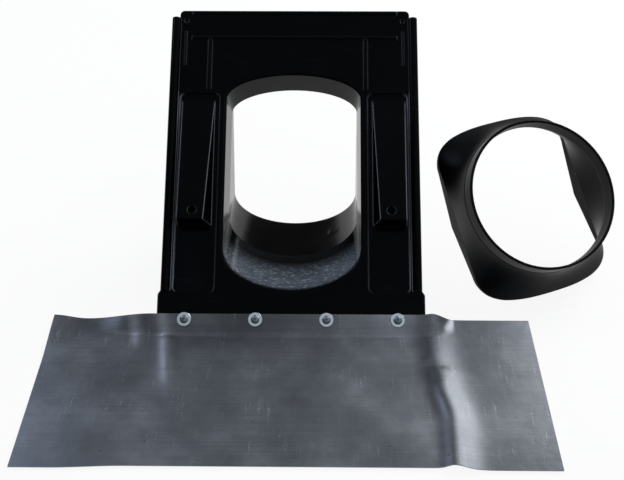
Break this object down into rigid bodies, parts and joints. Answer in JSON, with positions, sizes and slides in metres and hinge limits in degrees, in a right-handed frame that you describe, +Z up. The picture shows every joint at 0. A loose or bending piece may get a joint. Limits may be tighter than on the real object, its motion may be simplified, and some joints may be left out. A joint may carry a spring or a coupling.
{
  "type": "roof penetration flashing",
  "caption": "Black moulded tile plate with a flue turret, lying face down on its turret, with a riveted lead apron and a loose square-to-round collar.",
  "frame": {"origin": "on the floor, at the middle of the whole group's footprint", "axes": "+X across the plate's width to the collar, +Y up the slope away from the lead apron, +Z up"},
  "size_m": [0.5967, 0.4673, 0.2301],
  "materials": {
    "black_plastic": "glossy black moulding, lightly scuffed",
    "lead": "rolled lead sheet, weathered blue-grey",
    "zinc_plate": "bright zinc plate",
    "rivet_metal": "plain bright metal",
    "collar_plastic": "glossy black moulding"
  },
  "bodies": {
    "root": {"base_plate": "black_plastic", "lead_apron": "lead", "washers": "zinc_plate", "rivets": "rivet_metal", "collar": "collar_plastic"}
  },
  "joints": []
}
